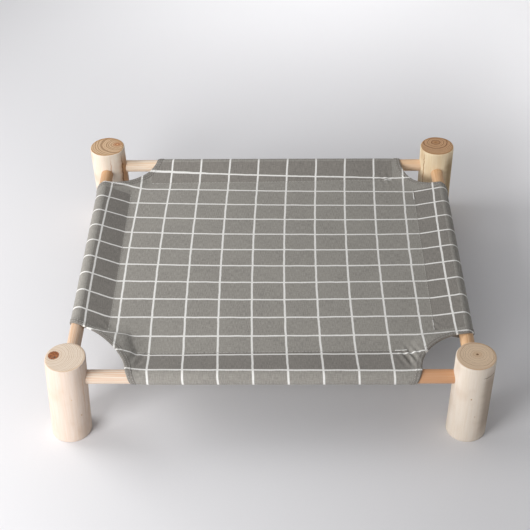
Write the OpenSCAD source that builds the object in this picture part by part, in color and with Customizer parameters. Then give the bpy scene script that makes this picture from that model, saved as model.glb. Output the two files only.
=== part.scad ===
// Raised pet bed: four log posts, four round rails, and a canvas sling whose sleeves the rails run through.
// The rails push into blind sockets in the posts, so an end frame pulls off by hand.
// Millimetres. The origin lies on the floor at the middle of the footprint.
// X runs along the front, Y from front to back, and Z up.

/* [Posts] */
// Distance between the posts' centres along the front
span_x = 450; // [400:5:560]
// Distance between the posts' centres from front to back
span_y = 420; // [380:5:520]
// Height of a post
post_h = 112; // [104:1:150]
// Diameter of a post
post_d = 45.5; // [45:0.5:60]
// Width of the broken edge round each sawn end
post_edge = 1; // [0.5:0.1:2.5]

/* [Rails] */
// Diameter of a rail
rail_d = 16; // [14:0.5:16]
// Height of the rails' centre lines
rail_z = 81; // [60:1:85]
// Depth of a post's blind socket
socket_depth = 14; // [10:0.5:14]
// Gap between a rail and its socket's wall
socket_gap = 0.06; // [0.03:0.01:0.1]
// Gap between a rail's end and its socket's floor
end_gap = 0.5; // [0.2:0.1:1]
// Width of the bevel round a rail's ends
rail_bevel = 1; // [0.5:0.1:2]

/* [Sling] */
// Thickness of the canvas
cloth_t = 0.9; // [0.6:0.1:1.2]
// Gap between a sleeve and its rail
sleeve_slack = 0.4; // [0.3:0.1:0.8]
// Distance from a rail's centre line to its sleeve's seam
seam_inset = 36; // [30:0.5:36]
// The same distance at the front rail
front_inset = 39; // [30:0.5:42]
// How far the panel's middle hangs below its seams
sag = 4; // [1:0.5:10]
// Width of the turned hem round a corner's cut-out
hem_w = 6; // [4:0.5:8]
// Width of a seam's row of thread
thread_w = 1; // [0.6:0.1:1.5]

/* [Corner cut-outs] */
// Reach from the front left post's centre along X and Y
cut_front_left = [65, 80]; // [50:1:85]
// Reach from the front right post's centre along X and Y
cut_front_right = [58, 62]; // [50:1:85]
// Reach from the back left post's centre along X and Y
cut_back_left = [69, 51]; // [48:1:85]
// Reach from the back right post's centre along X and Y
cut_back_right = [50, 54]; // [50:1:85]
// How full the left cut-outs are: 1 is a straight line between their ends, and 2 an ellipse
bow_left = 1.5; // [1.5:0.05:2.4]
// The same for the right cut-outs
bow_right = 2; // [1.9:0.05:2.4]
// How far a sleeve's end leans away from its post, for each millimetre past the rail's centre line
end_lean = 0.4; // [0:0.1:0.6]

/* [Hidden] */
$fn = 96;

// A rail's end lies this far from the axis of the post that holds it.
rail_end = post_d / 2 - socket_depth + end_gap;
// The left sleeve belongs to the end frame that pulls off, so its seam stays this far from the panel.
parting_gap = 0.3;
// A sleeve's two layers come together this far before its seam.
sleeve_tip = 3;
sleeve_arc_steps = 28;
cut_steps = 24;
panel_steps = 18;
// A cut-out goes on this far past the rails' centre lines.
cut_past = 30;
thread_t = 0.4;
thread_lift = 0.05;
// A seam's thread lies this far inside the seam, and stops this far short of the cut-outs.
thread_inset = 0.5;
thread_stop = 26;

panel_x = span_x / 2 - seam_inset;
panel_front = front_inset - span_y / 2;
panel_back = span_y / 2 - seam_inset;
panel_mid = (panel_front + panel_back) / 2;
panel_y = (panel_back - panel_front) / 2;

// The outline of a sleeve's section: round the rail, then straight to the seam.
function teardrop(r, tip_x, tip_half) =
    let (a = acos((r - tip_half) / tip_x), sweep = 360 - 2 * a)
    concat(
        [for (i = [0 : sleeve_arc_steps]) let (t = a + sweep * i / sleeve_arc_steps) [r * cos(t), r * sin(t)]],
        tip_half > 0 ? [[tip_x, -tip_half], [tip_x, tip_half]] : [[tip_x, 0]]
    );

// How full the cut-out at a corner is.
function bow(corner) = corner[0] < 0 ? bow_left : bow_right;

// The outline of a corner's cut-out, from its post's centre towards the middle of the bed.
function cut_points(reach, bow) =
    concat(
        [for (i = [0 : cut_steps]) let (t = 90 * i / cut_steps)
            [reach[0] * pow(cos(t), 2 / bow), reach[1] * pow(sin(t), 2 / bow)]],
        [
            [-cut_past, reach[1] + end_lean * cut_past],
            [-cut_past, -cut_past],
            [reach[0] + end_lean * cut_past, -cut_past]
        ]
    );

// Height of the panel's upper face, where s and t run from -1 to 1 across it.
function panel_z(s, t) = rail_z + cloth_t - sag * (1 - s * s) * (1 - t * t);

function panel_point(i, j, drop) =
    let (s = 2 * i / panel_steps - 1, t = 2 * j / panel_steps - 1)
    [panel_x * s, panel_mid + panel_y * t, panel_z(s, t) - drop];

function split(a, b, c, d) = [[a, b, c], [a, c, d]];

// How far a seam runs from the middle of its side. reach is the cut-out's reach along and across the seam.
function seam_run(along, inset, reach, bow) =
    along / 2 - reach[0] * pow(1 - pow(inset / reach[1], bow), 1 / bow) - thread_stop;

function turned(reach) = [reach[1], reach[0]];

module post(x, y) {
    color("burlywood")
    translate([x, y, 0])
    difference() {
        rotate_extrude()
        polygon([
            [0, 0], [post_d / 2 - post_edge, 0], [post_d / 2, post_edge],
            [post_d / 2, post_h - post_edge], [post_d / 2 - post_edge, post_h], [0, post_h]
        ]);
        // One socket faces along X and one along Y, both towards the middle of the bed.
        socket(x > 0 ? 180 : 0);
        socket(y > 0 ? 270 : 90);
    }
}

module socket(turn) {
    translate([0, 0, rail_z])
    rotate([0, 0, turn])
    translate([post_d / 2 - socket_depth, 0, 0])
    rotate([0, 90, 0])
    cylinder(h = post_d, d = rail_d + 2 * socket_gap);
}

// Puts a piece drawn for the left side on any side. turn is 0 for left, 90 front, 180 right and 270 back.
module on_side(turn, span) {
    rotate([0, 0, turn])
    translate([-span / 2, 0, rail_z])
    children();
}

module rail(turn, span, along) {
    length = along - 2 * rail_end;
    color("peachpuff")
    on_side(turn, span)
    rotate([90, 0, 0])
    translate([0, 0, -length / 2])
    rotate_extrude()
    polygon([
        [0, 0], [rail_d / 2 - rail_bevel, 0], [rail_d / 2, rail_bevel],
        [rail_d / 2, length - rail_bevel], [rail_d / 2 - rail_bevel, length], [0, length]
    ]);
}

module cut_out(corner, reach) {
    translate([corner[0] * span_x / 2, corner[1] * span_y / 2, 0])
    linear_extrude(post_h)
    polygon([for (p = cut_points(reach, bow(corner))) [-corner[0] * p[0], -corner[1] * p[1]]]);
}

module cut_outs(grow) {
    cut_out([-1, -1], cut_front_left + grow);
    cut_out([1, -1], cut_front_right + grow);
    cut_out([-1, 1], cut_back_left + grow);
    cut_out([1, 1], cut_back_right + grow);
}

module sleeve(turn, span, along, inset) {
    inner_r = rail_d / 2 + sleeve_slack;
    color("gray")
    difference() {
        on_side(turn, span)
        rotate([90, 0, 0])
        linear_extrude(along, center = true)
        difference() {
            polygon(teardrop(inner_r + cloth_t, inset, cloth_t));
            polygon(teardrop(inner_r, inset - sleeve_tip, 0));
        }
        cut_outs([0, 0]);
    }
}

// The panel before its corners are cut: a sheet that hangs a little in the middle.
module sheet() {
    n = panel_steps;
    row = n + 1;
    layer = row * row;
    last = n * row;
    polyhedron(
        points = [for (drop = [0, cloth_t], j = [0 : n], i = [0 : n]) panel_point(i, j, drop)],
        faces = concat(
            [for (j = [0 : n - 1], i = [0 : n - 1]) let (a = j * row + i)
                each split(a, a + row, a + row + 1, a + 1)],
            [for (j = [0 : n - 1], i = [0 : n - 1]) let (a = layer + j * row + i)
                each split(a, a + 1, a + row + 1, a + row)],
            [for (i = [0 : n - 1]) each split(i, i + 1, layer + i + 1, layer + i)],
            [for (i = [last : last + n - 1]) each split(i + 1, i, layer + i, layer + i + 1)],
            [for (j = [0 : n - 1]) let (a = j * row) each split(a + row, a, layer + a, layer + a + row)],
            [for (j = [0 : n - 1]) let (a = j * row + n) each split(a, a + row, layer + a + row, layer + a)]
        )
    );
}

module sling_panel() {
    color("gray")
    difference() {
        sheet();
        cut_outs([hem_w, hem_w]);
    }
}

module hem(corner, reach) {
    color("dimgray")
    intersection() {
        sheet();
        difference() {
            cut_out(corner, reach + [hem_w, hem_w]);
            cut_out(corner, reach);
        }
    }
}

// Thread along one seam. first and last are the cut-outs' reaches along and across it, and bows how full they are.
module seam_thread(turn, span, along, inset, first, last, bows) {
    first_run = seam_run(along, inset, first, bows[0]);
    last_run = seam_run(along, inset, last, bows[1]);
    color("whitesmoke")
    on_side(turn, span)
    translate([inset + thread_inset, -first_run, cloth_t + thread_lift])
    cube([thread_w, first_run + last_run, thread_t]);
}

post(-span_x / 2, -span_y / 2);  // post_front_left
post(span_x / 2, -span_y / 2);  // post_front_right
post(-span_x / 2, span_y / 2);  // post_back_left
post(span_x / 2, span_y / 2);  // post_back_right
rail(90, span_y, span_x);  // rail_front
rail(270, span_y, span_x);  // rail_back
rail(0, span_x, span_y);  // rail_left
rail(180, span_x, span_y);  // rail_right
sling_panel();
sleeve(90, span_y, span_x, front_inset);  // sleeve_front
sleeve(270, span_y, span_x, seam_inset);  // sleeve_back
sleeve(0, span_x, span_y, seam_inset - parting_gap);  // sleeve_left
sleeve(180, span_x, span_y, seam_inset);  // sleeve_right
hem([-1, -1], cut_front_left);  // hem_front_left
hem([1, -1], cut_front_right);  // hem_front_right
hem([-1, 1], cut_back_left);  // hem_back_left
hem([1, 1], cut_back_right);  // hem_back_right
seam_thread(90, span_y, span_x, front_inset, cut_front_right, cut_front_left, [bow_right, bow_left]);  // seam_thread_front
seam_thread(270, span_y, span_x, seam_inset, cut_back_left, cut_back_right, [bow_left, bow_right]);  // seam_thread_back
seam_thread(  // seam_thread_left
        0, span_x, span_y, seam_inset, turned(cut_front_left), turned(cut_back_left), [bow_left, bow_left]
    );
seam_thread(  // seam_thread_right
        180, span_x, span_y, seam_inset, turned(cut_back_right), turned(cut_front_right), [bow_right, bow_right]
    );
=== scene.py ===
"""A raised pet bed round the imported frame: four debarked log posts, four dowel rails and a checked sling."""
import math
import random

import bmesh
import bpy
import numpy as np
from mathutils import Matrix, Vector
from mathutils.geometry import delaunay_2d_cdt


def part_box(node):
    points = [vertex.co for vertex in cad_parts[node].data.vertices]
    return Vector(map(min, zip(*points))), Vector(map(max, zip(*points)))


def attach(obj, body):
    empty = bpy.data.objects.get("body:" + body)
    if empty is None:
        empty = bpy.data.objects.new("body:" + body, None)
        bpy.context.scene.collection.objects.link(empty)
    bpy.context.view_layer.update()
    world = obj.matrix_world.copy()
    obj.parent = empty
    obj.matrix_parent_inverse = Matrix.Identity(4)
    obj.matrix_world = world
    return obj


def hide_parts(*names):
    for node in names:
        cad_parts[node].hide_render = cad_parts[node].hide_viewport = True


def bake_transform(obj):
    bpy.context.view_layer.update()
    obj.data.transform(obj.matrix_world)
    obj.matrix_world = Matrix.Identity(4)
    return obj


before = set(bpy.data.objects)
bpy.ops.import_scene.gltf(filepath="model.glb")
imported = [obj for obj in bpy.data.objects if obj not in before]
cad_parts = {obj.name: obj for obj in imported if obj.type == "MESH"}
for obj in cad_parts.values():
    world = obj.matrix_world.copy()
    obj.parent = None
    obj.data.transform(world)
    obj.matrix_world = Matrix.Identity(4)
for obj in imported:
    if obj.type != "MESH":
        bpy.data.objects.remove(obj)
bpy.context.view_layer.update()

MM = 0.001
MAIN, END = "frame_and_sling", "left_end"

# ---------------------------------------------------------------- sizes taken from the frame


def middle(node):
    """The middle of a node's box."""
    lo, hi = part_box(node)
    return (lo + hi) / 2


PANEL_LO, PANEL_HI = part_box("sling_panel")
RAIL_R = (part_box("rail_front")[1].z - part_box("rail_front")[0].z) / 2
RAIL_Z = middle("rail_front").z
POST_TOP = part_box("post_front_left")[1].z

# Each side of the sling: where its seam and its rail lie, measured across the side.
SEAM = {"left": PANEL_LO.x, "right": PANEL_HI.x, "front": PANEL_LO.y, "back": PANEL_HI.y}
RAIL = {
    "left": middle("rail_left").x,
    "right": middle("rail_right").x,
    "front": middle("rail_front").y,
    "back": middle("rail_back").y,
}
OUTWARD = {"left": -1, "right": 1, "front": -1, "back": 1}
INSET = {side: abs(RAIL[side] - SEAM[side]) for side in SEAM}

# ---------------------------------------------------------------- the cloth's own sizes

CLOTH = 0.9 * MM
# The outer face of the cloth lies this far from a rail's centre line.
WRAP_R = RAIL_R + 0.3 * MM + CLOTH
# The sleeve's under layer runs this far below the panel's upper face, where the seam holds the two together.
UNDER = 2.6 * MM
# The turned edge of the under layer goes on this far past the seam.
UNDER_HEM = 8 * MM
# The panel hangs in a shallow bowl, and its four seams don't lie at quite the same height.
SAG = 2.5 * MM
SEAM_BELOW_RAIL = 1.0 * MM
RISE_TO_RIGHT = 3.0 * MM
RISE_TO_FRONT = 1.5 * MM
# A seam's crease is sharp, and fades to a soft bend this wide past the seam's end.
CREASE = 0.7 * MM
SOFT_BEND = 4 * MM
FADE = 20 * MM
# How far inside its seams the cloth starts to rise at each corner, where no stitches hold it down.
CORNER_PULL = {
    ("left", "front"): 46 * MM,
    ("right", "front"): 34 * MM,
    ("left", "back"): 14 * MM,
    ("right", "back"): 4 * MM,
}

# ---------------------------------------------------------------- the sling's shape


def soft_ramp(t, width):
    """max(t, 0) with its corner rounded over about width."""
    return width * np.logaddexp(0, t / width)


def ease(t):
    t = np.clip(t, 0, 1)
    return t * t * (3 - 2 * t)


def panel_height(x, y):
    """Height of the panel's upper face, held level past its seams."""
    s = np.clip((x - (SEAM["left"] + SEAM["right"]) / 2) / ((SEAM["right"] - SEAM["left"]) / 2), -1, 1)
    t = np.clip((y - (SEAM["front"] + SEAM["back"]) / 2) / ((SEAM["back"] - SEAM["front"]) / 2), -1, 1)
    level = RAIL_Z - SEAM_BELOW_RAIL + RISE_TO_RIGHT * s - RISE_TO_FRONT * t
    return level - SAG * (1 - s * s) * (1 - t * t)


def sleeve_section(side, along):
    """The straight runs and angles of a sleeve's section: slope, run and lower slope, lower run."""
    x, y = (SEAM[side], along) if side in ("left", "right") else (along, SEAM[side])
    height = RAIL_Z - panel_height(x, y)
    inset = INSET[side]
    reach = np.hypot(inset, height)
    slope = np.arctan2(height, inset) + np.arcsin(WRAP_R / reach)
    run = np.sqrt(reach**2 - WRAP_R**2)
    reach_low = np.hypot(inset, height + UNDER)
    slope_low = np.arctan2(height + UNDER, inset) - np.arcsin(WRAP_R / reach_low)
    run_low = np.sqrt(reach_low**2 - WRAP_R**2)
    return height, slope, run, slope_low, run_low


def sleeve_length(side, along):
    """The cloth's length from a seam, round the rail and back past the seam."""
    _, slope, run, slope_low, run_low = sleeve_section(side, along)
    return run + WRAP_R * (slope - slope_low + math.pi) + run_low + UNDER_HEM


def over_rail(side, t, along):
    """How far out from the seam, and how high above it, a point t along the cloth past the seam lies."""
    crease, pull = past_seam_end(side, along)
    height, slope, run, slope_low, run_low = sleeve_section(side, along)
    turn = slope - np.clip(t - run, 0, None) / WRAP_R
    arc = WRAP_R * (slope - slope_low + math.pi)
    left_over = run_low - (t - run - arc)
    on_slope, on_arc = t < run, t < run + arc
    out = np.where(
        on_slope,
        np.clip(t, 0, None) * np.cos(slope),
        np.where(on_arc, INSET[side] - WRAP_R * np.sin(turn), left_over * np.cos(slope_low)),
    )
    rise = np.where(
        on_slope,
        soft_ramp(np.minimum(t, run) + pull, crease) * np.sin(slope) * run / (run + pull),
        np.where(
            on_arc,
            height + WRAP_R * np.cos(turn),
            np.clip(left_over, 0, None) * np.sin(slope_low) - UNDER,
        ),
    )
    return out, rise


def flat_distance(side, out, along):
    """The cloth's length past the seam at a plan distance past it, as far as the rail's crown."""
    _, slope, run, _, _ = sleeve_section(side, along)
    turn = np.arcsin(np.clip((INSET[side] - out) / WRAP_R, -1, 1))
    return np.where(out < run * np.cos(slope), out / np.cos(slope), run + WRAP_R * (slope - turn))


def past_seam_end(side, along):
    """The crease's width, and how far inside the seam it lies. Past the seam's end it is soft and lies in."""
    lo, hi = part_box("seam_thread_" + side)
    axis = 1 if side in ("left", "right") else 0
    before, after = ease((lo[axis] - along) / FADE), ease((along - hi[axis]) / FADE)
    if axis:
        pulls = CORNER_PULL[side, "front"], CORNER_PULL[side, "back"]
    else:
        pulls = CORNER_PULL["left", side], CORNER_PULL["right", side]
    return CREASE + (SOFT_BEND - CREASE) * (before + after), pulls[0] * before + pulls[1] * after


# How full each corner's cut-out is: 1 is a straight line between its ends, and 2 an ellipse.
BOW = {"left": 1.5, "right": 2.0}
# A sleeve's end leans away from its post past the rail's crown, by this much for each millimetre of cloth.
END_LEAN = {"left": 0.6, "right": 0.5, "front": 0.28, "back": 0.35}
LEANS_FOR = 20 * MM
# Where the folds are: place, size, height, distance between folds, and lean.
PUCKERS = [
    (0.157, -0.184, 10 * MM, 1.3 * MM, 8.5 * MM, 0.35),
    (-0.150, -0.184, 10 * MM, 0.6 * MM, 11 * MM, -0.3),
    (0.155, 0.176, 9 * MM, 0.45 * MM, 10 * MM, 0.2),
    (-0.192, -0.122, 9 * MM, 0.45 * MM, 14 * MM, 0.9),
    (0.193, -0.128, 8 * MM, 0.35 * MM, 12 * MM, 0.8),
]


def puckers(x, y):
    """Small folds where the seams end, and the slow unevenness of hand-stretched cloth."""
    z = 0.25 * MM * np.sin(x / (34 * MM) + 1.3) * np.sin(y / (41 * MM) + 0.4)
    for px, py, size, height, pitch, lean in PUCKERS:
        dx, dy = x - px, y - py
        fold = np.cos(2 * math.pi * (dx + lean * dy) / pitch)
        z = z + height * fold * np.exp(-((dx / size) ** 2) - (dy / (1.5 * size)) ** 2)
    return z


def lay(u, v):
    """Where a point of the flat cloth lies once it is on the rails. Inside the seams u and v are x and y."""
    x = np.clip(u, SEAM["left"], SEAM["right"])
    y = np.clip(v, SEAM["front"], SEAM["back"])
    z = panel_height(x, y)
    smooth = np.zeros(np.shape(u))
    shift = {}
    for side in SEAM:
        across, along = (u, y) if side in ("left", "right") else (v, x)
        t = (across - SEAM[side]) * OUTWARD[side]
        out, rise = over_rail(side, t, along)
        shift[side] = OUTWARD[side] * np.where(t > 0, out, 0)
        z = z + rise
        # The cloth is pulled smooth over its rails, from the last part of each slope on.
        _, slope, run, slope_low, run_low = sleeve_section(side, along)
        arc = WRAP_R * (slope - slope_low + math.pi)
        before = ease((t - 0.85 * run) / (0.15 * run))
        after = ease((run + arc + run_low - t) / run_low + 0.2)
        smooth = np.maximum(smooth, before * after)
    held = panel_height(x, y)
    x = x + shift["left"] + shift["right"]
    y = y + shift["front"] + shift["back"]
    z = z + panel_height(x, y) - held + (1 - smooth) * puckers(x, y)
    return np.stack([x, y, z], -1)


# ---------------------------------------------------------------- cutting the cloth

# The points of a cut edge where it runs round a rail.
ROUND_RAIL_STEPS = 34
# The grid lines close beside a seam, where the cloth creases.
BESIDE_SEAM = np.array([0.9, 2.2, 4.2]) * MM


def cut_reach(across_side, along_side):
    """The reach along X and Y of a corner's cut-out, from the ends of the two sleeves that it trims."""
    post = middle("post_" + along_side + "_" + across_side)
    bow = BOW[across_side]
    low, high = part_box("sleeve_" + across_side)
    s = abs((high.x if across_side == "left" else low.x) - post.x)
    y_tip = abs((low.y if along_side == "front" else high.y) - post.y)
    low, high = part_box("sleeve_" + along_side)
    f = abs((high.y if along_side == "front" else low.y) - post.y)
    x_tip = abs((low.x if across_side == "left" else high.x) - post.x)
    tips = np.array([[s**bow, y_tip**bow], [x_tip**bow, f**bow]])
    return np.linalg.solve(tips, [1.0, 1.0]) ** (-1 / bow)


def corner_edge(across_side, along_side, steps=44):
    """The flat cloth's edge round one post, from a side sleeve's end to a front or back sleeve's end."""
    post = middle("post_" + along_side + "_" + across_side)
    reach = cut_reach(across_side, along_side)
    away_x, away_y = -OUTWARD[across_side], -OUTWARD[along_side]
    angle = np.linspace(math.pi / 2, 0, steps)
    x = post.x + away_x * reach[0] * np.cos(angle) ** (2 / BOW[across_side])
    y = post.y + away_y * reach[1] * np.sin(angle) ** (2 / BOW[across_side])
    seam_x, seam_y = SEAM[across_side], SEAM[along_side]
    past_x, past_y = (x - seam_x) * -away_x, (y - seam_y) * -away_y
    u = np.where(past_x > 0, seam_x - away_x * flat_distance(across_side, past_x, y), x)
    v = np.where(past_y > 0, seam_y - away_y * flat_distance(along_side, past_y, x), y)
    u_end = seam_x - away_x * float(sleeve_length(across_side, y[0]))
    v_end = seam_y - away_y * float(sleeve_length(along_side, x[-1]))
    round_side = np.linspace(u_end, u[0], ROUND_RAIL_STEPS)[:-1]
    round_front = np.linspace(v[-1], v_end, ROUND_RAIL_STEPS)[1:]
    side_lean = END_LEAN[across_side] * np.minimum(abs(round_side - u[0]), LEANS_FOR)
    front_lean = END_LEAN[along_side] * np.minimum(abs(round_front - v[-1]), LEANS_FOR)
    u, v = (
        np.concatenate([round_side, u, u[-1] + away_x * front_lean]),
        np.concatenate([v[0] + away_y * side_lean, v, round_front]),
    )
    return np.stack([u, v], -1)


def cloth_outline():
    """The whole cut edge of the flat cloth, counter-clockwise."""
    return np.concatenate([
        corner_edge("left", "front"),
        corner_edge("right", "front")[::-1],
        corner_edge("right", "back"),
        corner_edge("left", "back")[::-1],
    ])


def grid_lines(low_side, high_side, more=()):
    """Where the flat cloth's grid lines lie across one direction: close together where it bends."""
    lines = []
    for side in (low_side, high_side):
        _, slope, run, slope_low, run_low = (float(a) for a in sleeve_section(side, 0.0))
        arc = WRAP_R * (slope - slope_low + math.pi)
        past = np.concatenate([
            BESIDE_SEAM,
            np.linspace(6.5 * MM, run, 10)[:-1],
            np.linspace(run, run + arc, 22)[:-1],
            np.linspace(run + arc, run + arc + run_low, 9),
            run + arc + run_low + UNDER_HEM * np.array([0.5, 1.0]),
        ])
        lines.append(SEAM[side] + OUTWARD[side] * past)
    low, high = SEAM[low_side], SEAM[high_side]
    widest = BESIDE_SEAM[-1]
    inner = np.linspace(low + widest, high - widest, round((high - low) / (3.4 * MM)))
    edge = np.array([0, *BESIDE_SEAM[:-1]])
    return np.unique(np.concatenate([*lines, low + edge, high - edge, inner, more]).round(7))


def inside(points, outline, clear):
    """Which points lie inside the outline, and at least clear away from it."""
    a, b = outline, np.roll(outline, -1, 0)
    px, py = points[:, 0, None], points[:, 1, None]
    crosses = (a[:, 1] > py) != (b[:, 1] > py)
    rise = np.where(b[:, 1] == a[:, 1], 1, b[:, 1] - a[:, 1])
    at = a[:, 0] + (py - a[:, 1]) * (b[:, 0] - a[:, 0]) / rise
    odd = (crosses & (px < at)).sum(1) % 2 == 1
    edge = b - a
    length = np.maximum((edge**2).sum(1), 1e-18)
    share = np.clip(((px - a[:, 0]) * edge[:, 0] + (py - a[:, 1]) * edge[:, 1]) / length, 0, 1)
    near = np.hypot(px - a[:, 0] - share * edge[:, 0], py - a[:, 1] - share * edge[:, 1]).min(1)
    return odd & (near > clear)


# The cloth was cut a little askew and pulled unevenly, so the lines of its check lean, bow and twist.
# These are the shares they are stretched by, and how far they stray 200 mm from the middle.
FAR = 200 * MM
ACROSS_STRETCH, ACROSS_LEAN, ACROSS_BOW, ACROSS_TWIST = 1.007, -0.8 * MM, -4.2 * MM, -0.6 * MM
DEEP_STRETCH, DEEP_LEAN, DEEP_BOW, DEEP_TWIST = 0.987, 5.5 * MM, 4.3 * MM, 4.9 * MM
BACK_DRAWN_PAST, BACK_DRAWN_BY = 190 * MM, 0.35
LEFT_FANS_PAST = -195 * MM


def print_place(u, v):
    """Where a point of the cloth lies on the woven check."""
    s, t = u / FAR, v / FAR
    x = ACROSS_STRETCH * u + ACROSS_LEAN * t + ACROSS_BOW * t * t + ACROSS_TWIST * s * t
    y = DEEP_STRETCH * v + DEEP_LEAN * s + DEEP_BOW * t * t + DEEP_TWIST * s * t
    y = y - BACK_DRAWN_BY * np.maximum(v - BACK_DRAWN_PAST, 0)
    y = y + v * np.maximum(LEFT_FANS_PAST - u, 0)
    return np.stack([x, y], -1)


def mesh_object(name, points, faces, materials, uv=None, smooth=True):
    """A mesh with its materials and, for cloth, the place of each point on the woven check."""
    mesh = bpy.data.meshes.new(name)
    mesh.from_pydata([tuple(p) for p in points], [], [tuple(f) for f in faces])
    if uv is not None:
        layer = mesh.uv_layers.new(name="cloth")
        corners = np.empty(len(mesh.loops), np.int32)
        mesh.loops.foreach_get("vertex_index", corners)
        layer.data.foreach_set("uv", np.asarray(uv, np.float32)[corners].ravel())
    for material in materials:
        mesh.materials.append(material)
    if smooth:
        mesh.shade_smooth()
    mesh.validate()
    obj = bpy.data.objects.new(name, mesh)
    bpy.context.scene.collection.objects.link(obj)
    return obj


def finished(obj):
    """Turns an object with its modifiers into a plain mesh."""
    graph = bpy.context.evaluated_depsgraph_get()
    graph.update()
    mesh = bpy.data.meshes.new_from_object(
        obj.evaluated_get(graph), preserve_all_data_layers=True, depsgraph=graph)
    obj.modifiers.clear()
    obj.data = mesh
    mesh.name = obj.name
    return obj


def sewn_run(side):
    """Where a seam holds the sleeve's two layers together, to just past its last stitches."""
    lo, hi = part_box("seam_thread_" + side)
    axis = 1 if side in ("left", "right") else 0
    return lo[axis] - 2 * MM, hi[axis] + 2 * MM


def painted_shade_mask(mid):
    """Which places, given flat, lie on a sewn slope, where the sleeve's upper and lower layers meet. These get
    the darker canvas: painted shade.
    """
    shaded_slopes = np.zeros(len(mid), bool)
    for side in SEAM:
        k = 0 if side in ("left", "right") else 1
        past = (mid[:, k] - SEAM[side]) * OUTWARD[side]
        low, high = sewn_run(side)
        sewn = (mid[:, 1 - k] > low) & (mid[:, 1 - k] < high)
        shaded_slopes |= sewn & (past > 0) & (past < sleeve_section(side, mid[:, 1 - k])[2])
    return shaded_slopes


def make_sling(single, double_painted_shade):
    """The whole cloth, cut flat, then laid over its rails and given its thickness."""
    outline = cloth_outline()
    # Closer grid lines where most of the folds are.
    folds = np.arange(140.1 * MM, 176 * MM, 1.6 * MM)
    across = grid_lines("left", "right", [*folds, *-folds, *sewn_run("front"), *sewn_run("back")])
    deep = grid_lines("front", "back", [*sewn_run("left"), *sewn_run("right")])
    grid = np.stack(np.meshgrid(across, deep), -1).reshape(-1, 2)
    grid = grid[inside(grid, outline, 0.8 * MM)]
    count = len(outline)
    points = [Vector(p) for p in np.concatenate([outline, grid]) / MM]
    edges = [(i, (i + 1) % count) for i in range(count)]
    flat, _, faces, *_ = delaunay_2d_cdt(points, edges, [], 1, 1e-5)
    flat = np.array([tuple(p) for p in flat]) * MM
    corners = flat[np.array(faces)]
    a, b = corners[:, 1] - corners[:, 0], corners[:, 2] - corners[:, 0]
    area = float(np.abs(a[:, 0] * b[:, 1] - a[:, 1] * b[:, 0]).sum() / 2)
    u, v = flat[:, 0], flat[:, 1]
    sling = mesh_object("sling", lay(u, v), faces, [single, double_painted_shade], uv=print_place(u, v))
    # Light comes back through single cloth from the floor and the pale rails. Doubled slopes, where less of it
    # would come through, get a darker copy of the canvas: painted shade.
    sling.data.polygons.foreach_set("material_index", painted_shade_mask(corners.mean(1)).astype(np.int32))
    thick = sling.modifiers.new("thickness", "SOLIDIFY")
    thick.thickness = CLOTH
    thick.offset = -1
    size = outline.max(0) - outline.min(0)
    return finished(sling), (float(size[0]), float(size[1])), area


# ---------------------------------------------------------------- hems and stitches


def surface_frame(path, inward):
    """The cloth's normal at each point of a flat path, from small steps along the path and inwards."""
    step = 0.3 * MM
    along = np.gradient(path, axis=0)
    along /= np.linalg.norm(along, axis=1)[:, None]
    here = lay(*(path + inward * step).T)
    forward = lay(*(path + inward * step + along * step).T) - lay(*(path + inward * step - along * step).T)
    across = lay(*(path + inward * 2 * step).T) - here
    normal = np.cross(forward, across)
    normal /= np.linalg.norm(normal, axis=1)[:, None]
    return normal


def edge_path(across_side, along_side):
    """A corner's cut edge, evenly spaced, with its direction into the cloth."""
    edge = corner_edge(across_side, along_side, 60)
    if OUTWARD[across_side] * OUTWARD[along_side] < 0:
        edge = edge[::-1]
    # The hem ends a little before the cut edge does.
    edge = edge[3:-3]
    length = np.concatenate([[0], np.cumsum(np.linalg.norm(np.diff(edge, axis=0), axis=1))])
    even = np.linspace(0, length[-1], int(length[-1] / (1.6 * MM)))
    path = np.stack([np.interp(even, length, edge[:, k]) for k in (0, 1)], -1)
    tangent = np.gradient(path, axis=0)
    tangent /= np.linalg.norm(tangent, axis=1)[:, None]
    return path, np.stack([-tangent[:, 1], tangent[:, 0]], -1)


# The section of a turned double hem: distance in from the cut edge, and height over the cloth's face.
HEM_SECTION = [
    (6.3, 0.02), (5.9, 0.3), (5.2, 0.42), (3.2, 0.38), (1.2, 0.45), (0.1, 0.4), (-0.6, 0.0), (-0.9, -0.7),
    (-0.6, -1.5), (0.2, -1.95), (3.0, -2.0), (5.6, -1.9), (6.3, -1.5), (6.5, -0.7),
]


def make_hem(name, across_side, along_side, canvas):
    """The turned edge of one corner's cut-out, from round one rail to round the other."""
    path, inward = edge_path(across_side, along_side)
    normal = surface_frame(path, inward)
    rings, flats = [], []
    for into, over in HEM_SECTION:
        flat = path + inward * into * MM
        rings.append(lay(*flat.T) + normal * over * MM)
        flats.append(print_place(*flat.T))
    count, around = len(path), len(HEM_SECTION)
    points = np.stack(rings, 1).reshape(-1, 3)
    uv = np.stack(flats, 1).reshape(-1, 2)
    faces = []
    for i in range(count - 1):
        for j in range(around):
            k = (j + 1) % around
            faces.append((i * around + j, i * around + k, (i + 1) * around + k, (i + 1) * around + j))
    faces.append(tuple(reversed(range(around))))
    faces.append(tuple((count - 1) * around + j for j in range(around)))
    return mesh_object(name, points, faces, [canvas], uv=uv)


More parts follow.
